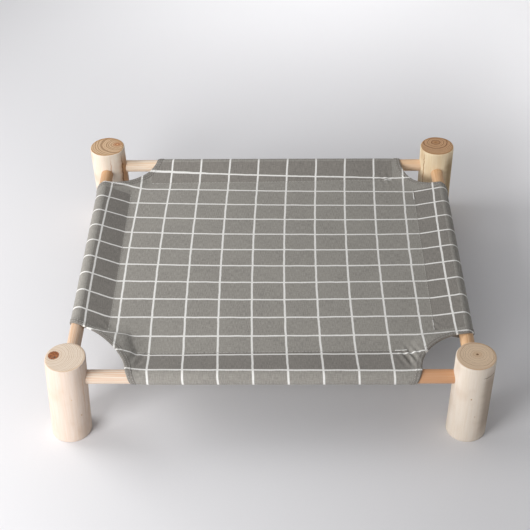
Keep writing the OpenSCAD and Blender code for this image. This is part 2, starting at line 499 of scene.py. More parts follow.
def stitch_tree(thread):
    """Geometry Nodes: a row of stitches along a path, each a short thread that dips in at both ends."""
    tree = bpy.data.node_groups.new("stitch_row", "GeometryNodeTree")
    face = tree.interface
    face.new_socket("Geometry", in_out="INPUT", socket_type="NodeSocketGeometry")
    for name, value in (("Pitch", 4 * MM), ("Stitch length", 3 * MM), ("Thread thickness", 0.6 * MM)):
        face.new_socket(name, in_out="INPUT", socket_type="NodeSocketFloat").default_value = value
    face.new_socket("Seed", in_out="INPUT", socket_type="NodeSocketInt").default_value = 1
    face.new_socket("Geometry", in_out="OUTPUT", socket_type="NodeSocketGeometry")
    given = add_node(tree, "NodeGroupInput")
    path = add_node(tree, "GeometryNodeMeshToCurve", {"Mesh": given.outputs["Geometry"]})
    row = add_node(
        tree, "GeometryNodeResampleCurve",
        {"Curve": path.outputs["Curve"], "Length": given.outputs["Pitch"]}, mode="LENGTH",
    )
    tangent = add_node(tree, "GeometryNodeInputTangent")
    turn = add_node(
        tree, "FunctionNodeAlignRotationToVector", {"Vector": tangent.outputs["Tangent"]}, axis="Z",
    )
    ball = add_node(tree, "GeometryNodeMeshUVSphere", {"Segments": 8, "Rings": 6, "Radius": 0.5})
    uneven = add_node(
        tree, "FunctionNodeRandomValue",
        {2: 0.85, 3: 1.1, "Seed": given.outputs["Seed"]}, data_type="FLOAT",
    )
    length = add_node(
        tree, "ShaderNodeMath",
        {0: given.outputs["Stitch length"], 1: uneven.outputs[1]}, operation="MULTIPLY",
    )
    size = add_node(
        tree, "ShaderNodeCombineXYZ",
        {
            "X": given.outputs["Thread thickness"],
            "Y": given.outputs["Thread thickness"],
            "Z": length.outputs["Value"],
        },
    )
    laid = add_node(
        tree, "GeometryNodeInstanceOnPoints",
        {
            "Points": row.outputs["Curve"],
            "Instance": ball.outputs["Mesh"],
            "Rotation": turn.outputs["Rotation"],
            "Scale": size.outputs["Vector"],
        },
    )
    real = add_node(tree, "GeometryNodeRealizeInstances", {"Geometry": laid.outputs["Instances"]})
    smooth = add_node(tree, "GeometryNodeSetShadeSmooth", {"Geometry": real.outputs["Geometry"]})
    painted = add_node(
        tree, "GeometryNodeSetMaterial", {"Geometry": smooth.outputs["Geometry"], "Material": thread},
    )
    add_node(tree, "NodeGroupOutput", {"Geometry": painted.outputs["Geometry"]})
    return tree


def stitch_row(name, tree, paths, pitch=4 * MM, length=3 * MM, thickness=0.6 * MM, seed=1):
    """Runs the stitches along each path of points, and turns the result into a plain mesh."""
    points = np.concatenate(paths)
    edges, start = [], 0
    for path in paths:
        edges += [(start + i, start + i + 1) for i in range(len(path) - 1)]
        start += len(path)
    mesh = bpy.data.meshes.new(name)
    mesh.from_pydata([tuple(p) for p in points], edges, [])
    obj = bpy.data.objects.new(name, mesh)
    bpy.context.scene.collection.objects.link(obj)
    modifier = obj.modifiers.new("stitches", "NODES")
    modifier.node_group = tree
    values = {"Pitch": pitch, "Stitch length": length, "Thread thickness": thickness, "Seed": seed}
    for item in tree.interface.items_tree:
        if item.in_out == "INPUT" and item.name in values:
            modifier[item.identifier] = values[item.name]
    return finished(obj)


# The points that follow a seam's thread over the bowed cloth.
SEAM_STEPS = 90


def seam_path(side, past, lift):
    """Points along a seam's thread, on the cloth's face."""
    lo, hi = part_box("seam_thread_" + side)
    across = SEAM[side] + OUTWARD[side] * past
    if side in ("left", "right"):
        v = np.linspace(lo.y, hi.y, SEAM_STEPS)
        u = np.full(SEAM_STEPS, across)
    else:
        u = np.linspace(lo.x, hi.x, SEAM_STEPS)
        v = np.full(SEAM_STEPS, across)
    points = lay(u, v)
    points[:, 2] += lift
    return points


# Bars of white thread that lock the seams' ends: the side, 0 for its low end or -1 for its high end, how far
# from that end the bar starts and stops, and its thickness.
BARTACKS = [
    ("right", 0, 1 * MM, 16 * MM, 0.7 * MM),
    ("right", -1, 5 * MM, 19 * MM, 1.2 * MM),
    ("front", -1, 0 * MM, 12 * MM, 1.3 * MM),
    ("back", -1, 0 * MM, 9 * MM, 1.1 * MM),
]


def make_seam_stitches(side, tree):
    """A sleeve's seam: one row of stitches, locked at both ends."""
    row = seam_path(side, -0.3 * MM, 0.08 * MM)
    # Both ends are locked with a few stitches sewn back over themselves.
    start, end = row[0], row[-1]
    forward = (end - start) / np.linalg.norm(end - start)
    aside = np.array([-forward[1], forward[0], 0]) * 0.45 * MM
    locks = []
    for place, way in ((start, forward), (end, -forward)):
        for shift in (-1, 1):
            locks.append(np.stack([place + shift * aside, place + shift * aside + way * 6 * MM]))
    return stitch_row("stitches_" + side, tree, [row, *locks], seed=len(side))


def make_bartack(side, end, start, stop, thickness, tree):
    """A bar of close white stitches at one end of a seam."""
    row = seam_path(side, -0.3 * MM, 0.15 * MM)
    along = np.linalg.norm(row - row[end], axis=1)
    order = np.argsort(along)
    even = np.linspace(start, stop, 8)
    bar = np.stack([np.interp(even, along[order], row[order, k]) for k in range(3)], -1)
    name = "bartack_" + side + ("_end" if end else "_start")
    return stitch_row(name, tree, [bar], pitch=0.8 * MM, length=1.5 * MM, thickness=thickness)


def make_hem_stitches(name, across_side, along_side, tree):
    """The two rows of stitches that hold a corner's hem."""
    path, inward = edge_path(across_side, along_side)
    normal = surface_frame(path, inward)
    rows = []
    for into in (1.6, 5.0):
        flat = path + inward * into * MM
        rows.append(lay(*flat.T) + normal * 0.5 * MM)
    return stitch_row(name, tree, rows, pitch=3.4 * MM, length=2.5 * MM, thickness=0.5 * MM, seed=len(name))


# ---------------------------------------------------------------- logs


def smooth_noise(rng, count):
    """Amplitudes and phases of a few slow waves, for a shape that nature made."""
    return [
        (rng.uniform(0.4, 1.0) / (k + 1), rng.uniform(0, 2 * math.pi), rng.uniform(-1, 1))
        for k in range(count)
    ]


def log_surface(angle, height, log, waves):
    """A log's radius at an angle and height: nearly round, with a slow twist, a taper and its swellings."""
    share = height / POST_TOP
    radius = log["radius"] * (1 + log["taper"] * (share - 0.5))
    for k, (amount, phase, twist) in enumerate(waves):
        radius = radius + log["uneven"] * amount * np.cos((k + 2) * angle + phase + twist * share)
    for turned, at, size, swell in log["swells"]:
        off = np.angle(np.exp(1j * (angle - math.radians(turned)))) * log["radius"] / MM
        up = (height / MM - at) / (2.5 * size)
        radius = radius + swell * MM * np.exp(-((off / size) ** 2) - up**2)
    return radius


# A log's mesh: points round it, rings up its side, and rings in to the middle of each end.
AROUND, UP_SIDE, INTO_END = 112, 46, 9
# The edge round each sawn end is worn back by this much.
WORN_EDGE = 0.9 * MM


def between_rings(lower, upper):
    """The faces between two rings of a log, given the first point of each."""
    return [
        (lower + j, lower + (j + 1) % AROUND, upper + (j + 1) % AROUND, upper + j)
        for j in range(AROUND)
    ]


def log_side(log):
    """The rings of points up a log's side, with its edges worn."""
    waves = smooth_noise(random.Random(log["seed"]), 5)
    angle = np.linspace(0, 2 * math.pi, AROUND, endpoint=False)
    worn = np.array([0, 0.35, 1]) * WORN_EDGE
    body = np.linspace(3 * MM, POST_TOP - 3 * MM, UP_SIDE)
    heights = np.concatenate([worn, body, POST_TOP - worn[::-1]])
    pulled = np.zeros(len(heights))
    pulled[0] = pulled[-1] = WORN_EDGE
    pulled[1] = pulled[-2] = 0.35 * WORN_EDGE
    rings = []
    for height, pull in zip(heights, pulled):
        radius = log_surface(angle, height, log, waves) - pull
        ring = [radius * np.cos(angle), radius * np.sin(angle), np.full(AROUND, height)]
        rings.append(np.stack(ring, -1))
    return rings


def close_end(rings, faces, first, outer, top):
    """Closes a sawn end in rings towards its middle. first is the number of the outer ring's first point."""
    height = outer[0, 2]
    base = sum(len(ring) for ring in rings)
    for step in range(1, INTO_END):
        ring = outer * (1 - step / INTO_END)
        ring[:, 2] = height
        rings.append(ring)
    rings.append(np.array([[0, 0, height]]))
    previous = first
    for step in range(1, INTO_END):
        current = base + (step - 1) * AROUND
        quads = between_rings(previous, current)
        faces += quads if top else [quad[::-1] for quad in quads]
        previous = current
    tip = base + (INTO_END - 1) * AROUND
    for j in range(AROUND):
        k = (j + 1) % AROUND
        faces.append((previous + j, previous + k, tip) if top else (previous + k, previous + j, tip))


def make_log(name, log, side_wood, end_wood):
    """A debarked log with its own lean, taper and swellings, two sawn ends and a socket for each rail."""
    centre = middle(log["node"])
    rings = log_side(log)
    levels = len(rings)
    faces = []
    for i in range(levels - 1):
        faces += between_rings(i * AROUND, (i + 1) * AROUND)
    sides = len(faces)
    foot, head = rings[0], rings[-1]
    close_end(rings, faces, 0, foot, top=False)
    close_end(rings, faces, (levels - 1) * AROUND, head, top=True)
    points = np.concatenate(rings)
    share = points[:, 2:3] / POST_TOP
    # The sawn top isn't quite square to the log.
    cut_tilt = np.array(log["cut_tilt"])
    tilt = points[:, :2] @ cut_tilt - 23 * MM * abs(cut_tilt).sum()
    points[:, 2] += tilt * np.clip((points[:, 2] / POST_TOP - 0.9) / 0.1, 0, 1)
    points[:, :2] += (np.array(log["foot"]) * (1 - share) + np.array(log["head"]) * share) * MM
    points[:, :2] += np.array([centre.x, centre.y])
    obj = mesh_object(name, points, faces, [side_wood, end_wood])
    for polygon in obj.data.polygons[sides:]:
        polygon.material_index = 1
    cutters = [drill(obj, rail, centre) for rail in log["rails"]]
    obj = finished(obj)
    for cutter in cutters:
        bpy.data.objects.remove(cutter)
    obj.data.set_sharp_from_angle(angle=math.radians(38))
    return obj


# A socket's radius is this much more than its rail's, and it goes this far past the rail's end.
SOCKET_PLAY = 0.14 * MM
SOCKET_PAST_END = 0.5 * MM
# Long enough to come out of the log's side.
CUTTER_LENGTH = 40 * MM


def drill(log, rail, centre):
    """Cuts the blind socket that a rail sits in. The cutter it returns can go once the log is finished."""
    lo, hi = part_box(rail)
    axis = 0 if hi.x - lo.x > hi.y - lo.y else 1
    near = lo if abs(lo[axis] - centre[axis]) < abs(hi[axis] - centre[axis]) else hi
    way = 1 if near is lo else -1
    start = near[axis] - way * SOCKET_PAST_END
    end = start + way * CUTTER_LENGTH
    around = 64
    points = []
    for place in (start, end):
        for j in range(around):
            a = 2 * math.pi * j / around
            r = RAIL_R + SOCKET_PLAY
            p = [0, 0, RAIL_Z + r * math.sin(a)]
            p[axis] = place
            p[1 - axis] = (lo[1 - axis] + hi[1 - axis]) / 2 + r * math.cos(a)
            points.append(p)
    faces = [(j, (j + 1) % around, around + (j + 1) % around, around + j) for j in range(around)]
    faces += [tuple(reversed(range(around))), tuple(range(around, 2 * around))]
    cutter = mesh_object("socket_cutter", points, faces, [], smooth=False)
    face_outwards(cutter)
    cut = log.modifiers.new("socket", "BOOLEAN")
    cut.object = cutter
    cut.operation = "DIFFERENCE"
    cut.solver = "EXACT"
    return cutter


def face_outwards(obj):
    """Turns a closed mesh's faces outwards."""
    mesh = bmesh.new()
    mesh.from_mesh(obj.data)
    bmesh.ops.recalc_face_normals(mesh, faces=mesh.faces)
    mesh.to_mesh(obj.data)
    mesh.free()


# ---------------------------------------------------------------- materials


def colour(code):
    """A linear colour from an sRGB hex value."""
    parts = [int(code[i:i + 2], 16) / 255 for i in (1, 3, 5)]
    return (*[c / 12.92 if c <= 0.04045 else ((c + 0.055) / 1.055) ** 2.4 for c in parts], 1.0)


def add_node(tree, kind, inputs=None, **settings):
    """Adds a node with its settings. An input is a value, a socket, or a node, for its first live output."""
    node = tree.nodes.new(kind)
    for name, value in settings.items():
        setattr(node, name, value)
    for key, value in (inputs or {}).items():
        if isinstance(value, bpy.types.Node):
            value = next(socket for socket in value.outputs if socket.enabled)
        if isinstance(value, bpy.types.NodeSocket):
            tree.links.new(value, node.inputs[key])
        else:
            node.inputs[key].default_value = value
    return node


def new_material(name):
    """An empty material and its node tree."""
    material = bpy.data.materials.new(name)
    material.use_nodes = True
    material.node_tree.nodes.clear()
    return material, material.node_tree


def mottling(tree, place, scale, stretch=(1, 1, 1), detail=3.0, rough=0.5):
    """Mottling about 1/scale mm across, drawn out to streaks along the axes where stretch is small."""
    drawn = add_node(tree, "ShaderNodeMapping", {"Vector": place, "Scale": stretch})
    return add_node(
        tree, "ShaderNodeTexNoise",
        {"Vector": drawn, "Scale": scale, "Detail": detail, "Roughness": rough})


def tint(tree, shade, over, pattern, low, high, start=0.0, end=1.0):
    """Lays a colour over a shade, by the share start where the pattern is low and by end where it is high."""
    share = add_node(
        tree, "ShaderNodeMapRange",
        {"Value": pattern, "From Min": low, "From Max": high, "To Min": start, "To Max": end},
        interpolation_type="SMOOTHSTEP")
    return add_node(tree, "ShaderNodeMix", {0: share, 6: shade, 7: over}, data_type="RGBA")


def near_line(tree, off, core, reach, depth=1.0):
    """depth within core of a line, where off is 0, fading to nothing at reach."""
    away = add_node(tree, "ShaderNodeMath", {0: off}, operation="ABSOLUTE")
    return add_node(
        tree, "ShaderNodeMapRange",
        {"Value": away, "From Min": core, "From Max": reach, "To Min": depth, "To Max": 0.0},
        interpolation_type="SMOOTHSTEP")


def between(tree, value, rise, fall):
    """1 between a rise and a fall, and 0 outside them. Each is given as where it starts and where it ends."""
    risen = add_node(
        tree, "ShaderNodeMapRange",
        {"Value": value, "From Min": rise[0], "From Max": rise[1]}, interpolation_type="SMOOTHSTEP")
    not_fallen = add_node(
        tree, "ShaderNodeMapRange",
        {"Value": value, "From Min": fall[0], "From Max": fall[1], "To Min": 1.0, "To Max": 0.0},
        interpolation_type="SMOOTHSTEP")
    return add_node(tree, "ShaderNodeMath", {0: risen, 1: not_fallen}, operation="MULTIPLY")


def millimetres_from(tree, x, y, z=0.0):
    """Object coordinates in millimetres, measured from a point given in millimetres."""
    here = add_node(tree, "ShaderNodeTexCoord").outputs["Object"]
    scaled = add_node(tree, "ShaderNodeVectorMath", {0: here, "Scale": 1000.0}, operation="SCALE")
    return add_node(tree, "ShaderNodeVectorMath", {0: scaled, 1: (x, y, z)}, operation="SUBTRACT")


# The white lines of the check: for each direction, how far apart they are and where one lies, in millimetres.
CHECK_LINES = (("X", 39.5, -181.3), ("Y", 32.4, 186.1))
# Threads are about 0.5 mm apart. The weave is drawn twice as coarse, so that it shows.
WEAVE = 1.0


def white_yarns(tree, place, split):
    """Where the check's white yarns run. They wander a little."""
    wander = mottling(tree, place, 0.06, detail=1.0)
    lines = []
    for axis, pitch, first in CHECK_LINES:
        moved = add_node(
            tree, "ShaderNodeMath", {0: wander, 1: 1.2, 2: split.outputs[axis]}, operation="MULTIPLY_ADD")
        past = add_node(tree, "ShaderNodeMath", {0: moved, 1: -first - 0.6}, operation="ADD")
        off = add_node(tree, "ShaderNodeMath", {0: past, 1: pitch / 2, 2: -pitch / 2}, operation="WRAP")
        lines.append(near_line(tree, off, 0.95, 1.4))
    return add_node(tree, "ShaderNodeMath", {0: lines[0], 1: lines[1]}, operation="MAXIMUM")


def checked_canvas(name, dark, light):
    """Grey cotton canvas, yarn-dyed with a white window-pane check: matt, with a slubby plain weave."""
    material, tree = new_material(name)
    uv = add_node(tree, "ShaderNodeUVMap", uv_map="cloth")
    place = add_node(tree, "ShaderNodeVectorMath", {0: uv, "Scale": 1000.0}, operation="SCALE")
    split = add_node(tree, "ShaderNodeSeparateXYZ", {0: place})
    warp = mottling(tree, place, 1.5, (1.0, 0.09, 1.0), rough=0.65)
    weft = mottling(tree, place, 1.5, (0.09, 1.0, 1.0), rough=0.65)
    slub = add_node(tree, "ShaderNodeMath", {0: warp, 1: 1.5, 2: weft}, operation="MULTIPLY_ADD")
    grey = tint(tree, colour(dark), colour(light), slub, 0.85, 1.65)
    aged = tint(tree, grey, colour(light), mottling(tree, place, 0.02), 0.35, 0.7, 0.0, 0.22)
    white = tint(tree, colour("#eae8e3"), colour("#fbf9f6"), slub, 0.85, 1.65)
    yarns = white_yarns(tree, place, split)
    shade = add_node(tree, "ShaderNodeMix", {0: yarns, 6: aged, 7: white}, data_type="RGBA")
    waves = []
    for axis in ("X", "Y"):
        turns = {0: split.outputs[axis], 1: 2 * math.pi / WEAVE}
        along = add_node(tree, "ShaderNodeMath", turns, operation="MULTIPLY")
        waves.append(add_node(tree, "ShaderNodeMath", {0: along}, operation="SINE"))
    crossed = add_node(tree, "ShaderNodeMath", {0: waves[0], 1: waves[1]}, operation="MULTIPLY")
    relief = add_node(tree, "ShaderNodeMath", {0: crossed, 1: 0.3, 2: slub}, operation="MULTIPLY_ADD")
    bump = add_node(tree, "ShaderNodeBump", {"Height": relief, "Strength": 0.3, "Distance": 0.2 * MM})
    surface = add_node(
        tree, "ShaderNodeBsdfPrincipled",
        {
            "Base Color": shade, "Roughness": 0.92, "IOR": 1.5, "Normal": bump,
            "Sheen Weight": 0.1, "Sheen Roughness": 0.5, "Specular IOR Level": 0.2,
        })
    add_node(tree, "ShaderNodeOutputMaterial", {"Surface": surface})
    return material


def sewing_thread(name, dark, light):
    """Spun polyester thread: matt, with a fine twist."""
    material, tree = new_material(name)
    place = add_node(tree, "ShaderNodeTexCoord")
    twist = add_node(
        tree, "ShaderNodeTexNoise", {"Vector": place.outputs["Object"], "Scale": 1800.0, "Detail": 1.0})
    shade = add_node(
        tree, "ShaderNodeMix", {0: twist, 6: colour(dark), 7: colour(light)}, data_type="RGBA")
    surface = add_node(
        tree, "ShaderNodeBsdfPrincipled",
        {"Base Color": shade, "Roughness": 0.7, "IOR": 1.5, "Sheen Weight": 0.1})
    add_node(tree, "ShaderNodeOutputMaterial", {"Surface": surface})
    return material


def bare_wood(tree, shade, relief, rough, depth):
    """Bare, dry wood: a shallow grain under a soft sheen, with no varnish."""
    bump = add_node(tree, "ShaderNodeBump", {"Height": relief, "Strength": 0.6, "Distance": depth})
    surface = add_node(
        tree, "ShaderNodeBsdfPrincipled",
        {
            "Base Color": shade, "Roughness": rough, "IOR": 1.5, "Normal": bump,
            "Specular IOR Level": 0.3,
        })
    add_node(tree, "ShaderNodeOutputMaterial", {"Surface": surface})


def summer_wood(tree, ring, radius):
    """How dark each growth ring is: it darkens slowly through its summer wood, then starts again pale."""
    counted = add_node(tree, "ShaderNodeMath", {0: radius, 1: ring}, operation="DIVIDE")
    year = add_node(tree, "ShaderNodeMath", {0: counted}, operation="FRACT")
    dark = between(tree, year, (0.25, 0.9), (0.93, 1.0))
    which = add_node(tree, "ShaderNodeMath", {0: counted}, operation="FLOOR")
    good_years = mottling(tree, add_node(tree, "ShaderNodeCombineXYZ", {"X": which}), 0.9, detail=0.0)
    strength = add_node(
        tree, "ShaderNodeMapRange",
        {"Value": good_years, "From Min": 0.3, "From Max": 0.7, "To Min": 0.4, "To Max": 1.0},
        interpolation_type="SMOOTHSTEP")
    return add_node(tree, "ShaderNodeMath", {0: dark, 1: strength}, operation="MULTIPLY")


def log_end_grain(name, log):
    """Sawn end of a young softwood log: dull, with a growth ring for each year round an off-centre pith."""
    material, tree = new_material(name)
    centre = middle(log["node"]) / MM
    pith_x, pith_y = log["pith"]
    squeeze = log["squeeze"]
    place = millimetres_from(tree, centre.x + pith_x, centre.y + pith_y)
    split = add_node(tree, "ShaderNodeSeparateXYZ", {0: place})
    y = add_node(tree, "ShaderNodeMath", {0: split.outputs["Y"], 1: squeeze}, operation="MULTIPLY")
    plain = add_node(tree, "ShaderNodeCombineXYZ", {"X": split.outputs["X"], "Y": y})
    reach = add_node(tree, "ShaderNodeVectorMath", {0: plain}, operation="LENGTH")
    # The rings waver by up to 1.7 mm either way.
    waver = mottling(tree, plain, 0.09, detail=2.0)
    uneven = add_node(tree, "ShaderNodeMath", {0: waver, 1: 3.4, 2: -1.7}, operation="MULTIPLY_ADD")
    radius = add_node(tree, "ShaderNodeMath", {0: reach, 1: uneven}, operation="ADD")
    ringed = summer_wood(tree, log["ring"], radius)
    early, late = colour(log["early"]), colour(log["late"])
    shade = add_node(tree, "ShaderNodeMix", {0: ringed, 6: early, 7: late}, data_type="RGBA")
    # The heart is darker than the sapwood.
    shade = tint(tree, shade, colour(log["heart"]), radius, 0.0, log["heart_size"], log["heart_depth"], 0.0)
    for at, width, depth in log["bold_rings"]:
        off = add_node(tree, "ShaderNodeMath", {0: radius, 1: -at}, operation="ADD")
        ring = near_line(tree, off, 0.25 * width, width, depth)
        shade = add_node(tree, "ShaderNodeMix", {0: ring, 6: shade, 7: colour(log["bold"])}, data_type="RGBA")
    for at_x, at_y, size, inner, outer in log["spots"]:
        # A pith or a knot, with a ragged edge.
        away = add_node(tree, "ShaderNodeVectorMath", {0: plain, 1: (at_x, at_y, 0)}, operation="DISTANCE")
        frayed = mottling(tree, plain, 0.5)
        ragged = add_node(tree, "ShaderNodeMath", {0: frayed, 1: 1.6, 2: away}, operation="MULTIPLY_ADD")
        tone = tint(tree, colour(inner), colour(outer), mottling(tree, plain, 0.45), 0.35, 0.65)
        shade = tint(tree, shade, tone, ragged, size, size + 0.9, 1.0, 0.0)
    # The sapwood just under the bark has dried to a warm rim.
    log_middle = (-pith_x, -pith_y * squeeze, 0)
    outwards = add_node(tree, "ShaderNodeVectorMath", {0: plain, 1: log_middle}, operation="DISTANCE")
    shade = tint(tree, shade, colour(log["rim"]), outwards, 19.5, 22.5, 0.0, log["rim_depth"])
    # Saw marks run straight across.
    sawn = mottling(tree, place, 0.9, (0.15, 1.0, 1.0), 2.0)
    shade = tint(tree, shade, late, sawn, 0.35, 0.75, 0.0, 0.16)
    fibres = mottling(tree, place, 2.2, detail=2.0)
    shade = tint(tree, shade, early, fibres, 0.3, 0.8, 0.0, 0.15)
    ridges = add_node(tree, "ShaderNodeMath", {0: ringed, 1: 0.5}, operation="MULTIPLY")
    relief = add_node(tree, "ShaderNodeMath", {0: sawn, 1: 0.8, 2: ridges}, operation="MULTIPLY_ADD")
    bare_wood(tree, shade, relief, 0.75, 0.25 * MM)
    return material


def distance_round(tree, log, around, angle):
    """The distance round the log, in millimetres, past an angle given in degrees."""
    back = -math.radians(angle) * log["radius"] / MM
    return add_node(tree, "ShaderNodeMath", {0: around, 1: back}, operation="ADD")


def bark_marks_and_shade(tree, log, place, around, z, shade, relief):
    """Upright lines of inner bark, each at an angle round the log and between two heights. The wide, dark ones
    down the logs' right sides are painted shade, on the side turned from the light.
    """
    stray = mottling(tree, place, 0.12, (0.0, 0.0, 1.0))
    straying = add_node(tree, "ShaderNodeMath", {0: stray, 1: -0.5}, operation="ADD")
    for angle, bottom, top, width, code, depth in log["marks"]:
        aside = distance_round(tree, log, around, angle)
        off = add_node(tree, "ShaderNodeMath", {0: straying, 1: 6.0, 2: aside}, operation="MULTIPLY_ADD")
        near = near_line(tree, off, 0.2 * width, width)
        fade = (top - bottom) * 0.25
        tall = between(tree, z, (bottom, bottom + fade), (top - fade, top))
        there = add_node(tree, "ShaderNodeMath", {0: near, 1: tall}, operation="MULTIPLY")
        share = add_node(tree, "ShaderNodeMath", {0: there, 1: depth}, operation="MULTIPLY")
        shade = add_node(tree, "ShaderNodeMix", {0: share, 6: shade, 7: colour(code)}, data_type="RGBA")
        sunk = {0: there, 1: -1.2 * depth, 2: relief}
        relief = add_node(tree, "ShaderNodeMath", sunk, operation="MULTIPLY_ADD")
    return shade, relief


def nicks(tree, log, streak, around, z, shade, relief):
    """Fine nicks that run a little way round the log at one height."""
    for first, last, height, width, code, depth in log.get("nicks", []):
        above = add_node(tree, "ShaderNodeMath", {0: z, 1: -height}, operation="ADD")
        off = add_node(tree, "ShaderNodeMath", {0: streak, 1: 2.5, 2: above}, operation="MULTIPLY_ADD")
        near = near_line(tree, off, 0.2 * width, width)
        aside = distance_round(tree, log, around, (first + last) / 2)
        reach = math.radians(last - first) / 2 * log["radius"] / MM
        within = near_line(tree, aside, 0.5 * reach, reach, depth)
        there = add_node(tree, "ShaderNodeMath", {0: near, 1: within}, operation="MULTIPLY")
        shade = add_node(tree, "ShaderNodeMix", {0: there, 6: shade, 7: colour(code)}, data_type="RGBA")
        relief = add_node(tree, "ShaderNodeMath", {0: there, 1: -1.2, 2: relief}, operation="MULTIPLY_ADD")
    return shade, relief


def small_knots(tree, log, place, around, z, shade):
    """Small knots, a little taller than wide and ragged at the edge."""
    for angle, height, size, code in log["specks"]:
        across = distance_round(tree, log, around, angle)
        above = add_node(tree, "ShaderNodeMath", {0: z, 1: -height}, operation="ADD")
        up = add_node(tree, "ShaderNodeMath", {0: above, 1: 0.6}, operation="MULTIPLY")
        up_squared = add_node(tree, "ShaderNodeMath", {0: up, 1: up}, operation="MULTIPLY")
        squared = {0: across, 1: across, 2: up_squared}
        reach_squared = add_node(tree, "ShaderNodeMath", squared, operation="MULTIPLY_ADD")
        reach = add_node(tree, "ShaderNodeMath", {0: reach_squared, 1: 0.5}, operation="POWER")
        frayed = mottling(tree, place, 0.8)
        ragged = add_node(tree, "ShaderNodeMath", {0: frayed, 1: size, 2: reach}, operation="MULTIPLY_ADD")
        shade = tint(tree, shade, colour(code), ragged, 0.7 * size, 1.5 * size, 1.0, 0.0)
    return shade


def log_side_wood(name, log):
    """A debarked softwood log's side: smooth, matt and creamy, with faint upright streaks of inner bark."""
    material, tree = new_material(name)
    centre = middle(log["node"]) / MM
    place = millimetres_from(tree, centre.x, centre.y)
    x, y, z = add_node(tree, "ShaderNodeSeparateXYZ", {0: place}).outputs
    turned = add_node(tree, "ShaderNodeMath", {0: y, 1: x}, operation="ARCTAN2")
    around = add_node(tree, "ShaderNodeMath", {0: turned, 1: log["radius"] / MM}, operation="MULTIPLY")
    streak = mottling(tree, place, 0.42, (1.0, 1.0, 0.035), 4.0, 0.6)
    fine = mottling(tree, place, 1.3, (1.0, 1.0, 0.03), 3.0, 0.6)
    patch = mottling(tree, place, 0.045, (1.0, 1.0, 0.6))
    yellow = colour(log["yellow"])
    shade = tint(tree, colour(log["cream"]), yellow, streak, 0.38, 0.68, 0.0, log["streaky"])
    shade = tint(tree, shade, colour(log["stain"]), patch, 0.48, 0.72, 0.0, log["patchy"])
    shade = tint(tree, shade, yellow, fine, 0.45, 0.75, 0.0, 0.22)
    relief = add_node(tree, "ShaderNodeMath", {0: fine, 1: 0.6, 2: streak}, operation="MULTIPLY_ADD")
    shade, relief = bark_marks_and_shade(tree, log, place, around, z, shade, relief)
    shade, relief = nicks(tree, log, streak, around, z, shade, relief)
    shade = small_knots(tree, log, place, around, z, shade)
    bare_wood(tree, shade, relief, 0.6, 0.3 * MM)
    return material


def dowel_wood(name, axis, pale, warm, ends, offset):
    """A planed pine dowel: straight warm grain, a slight satin from sanding, and a tone that drifts, paler
    towards the key light: partly the wood's own tone, partly painted highlight.
    """
    material, tree = new_material(name)
    place = millimetres_from(tree, *offset)
    along = {"X": (0.012, 1.0, 1.0), "Y": (1.0, 0.012, 1.0)}[axis]
    broad = mottling(tree, place, 0.28, along, 3.0, 0.55)
    fine = mottling(tree, place, 1.5, along, 3.0, 0.6)
    spread = add_node(tree, "ShaderNodeMath", {0: broad, 1: 7.0}, operation="MULTIPLY")
    rings = add_node(tree, "ShaderNodeMath", {0: spread}, operation="FRACT")
    late = between(tree, rings, (0.1, 0.75), (0.85, 1.0))
    half = add_node(tree, "ShaderNodeMath", {0: late, 1: 0.5}, operation="MULTIPLY")
    shade = add_node(tree, "ShaderNodeMix", {0: half, 6: colour(pale), 7: colour(warm)}, data_type="RGBA")
    shade = tint(tree, shade, colour(warm), fine, 0.45, 0.8, 0.0, 0.4)
    split = add_node(tree, "ShaderNodeSeparateXYZ", {0: place})
    # Paler at the end towards the key light: partly the wood's own drift, partly painted highlight.
    shade = tint(tree, shade, colour(warm), split.outputs[axis], -200.0, 200.0, *ends)
    relief = add_node(tree, "ShaderNodeMath", {0: late, 1: 0.3, 2: fine}, operation="MULTIPLY_ADD")
    bare_wood(tree, shade, relief, 0.5, 0.12 * MM)
    return material


def backdrop_paper():
    """Seamless backdrop paper: pale, matt and even."""
    material, tree = new_material("backdrop_paper")
    fibre = mottling(tree, millimetres_from(tree, 0, 0), 0.5, detail=2.0)
    tones = {0: fibre, 6: colour("#e5e4e6"), 7: colour("#e8e7e9")}
    shade = add_node(tree, "ShaderNodeMix", tones, data_type="RGBA")
    surface = add_node(
        tree, "ShaderNodeBsdfPrincipled", {"Base Color": shade, "Roughness": 0.95, "IOR": 1.5})
    add_node(tree, "ShaderNodeOutputMaterial", {"Surface": surface})
    return material


# ---------------------------------------------------------------- camera, floor and light


def make_camera():
    """A long lens, a little right of the middle, looking down at the bed's front."""
    down, left, tilt = math.radians(38.38), math.radians(0.94), math.radians(0.70)
    forward = Vector((-math.sin(left) * math.cos(down), math.cos(left) * math.cos(down), -math.sin(down)))
    right = Vector((math.cos(left), math.sin(left), 0))
    up = right.cross(forward)
    right, up = math.cos(tilt) * right - math.sin(tilt) * up, math.sin(tilt) * right + math.cos(tilt) * up
    place = (0.0118, -1.1882, 1.0134)
    camera = bpy.data.objects.new("camera", bpy.data.cameras.new("camera"))
    camera.data.sensor_width = 36
    camera.data.lens = 82.48
    turn = Matrix((right, up, -forward)).transposed().to_4x4()
    camera.matrix_world = Matrix.Translation(place) @ turn
    bpy.context.scene.collection.objects.link(camera)
    bpy.context.scene.camera = camera


def make_floor():
    """A wide sheet of backdrop paper."""
    floor = mesh_object(
        "floor", [(-6, -6, 0), (6, -6, 0), (6, 6, 0), (-6, 6, 0)], [(0, 1, 2, 3)], [backdrop_paper()])


def area_light(name, place, target, size, power, spread=180):
    """A flat softbox that faces its target."""
    light = bpy.data.lights.new(name, "AREA")
    light.shape = "RECTANGLE"
    light.size, light.size_y = size
    light.energy = power
    light.spread = math.radians(spread)
    obj = bpy.data.objects.new(name, light)
    obj.location = place
    obj.rotation_euler = (Vector(target) - Vector(place)).to_track_quat("-Z", "Y").to_euler()
    bpy.context.scene.collection.objects.link(obj)


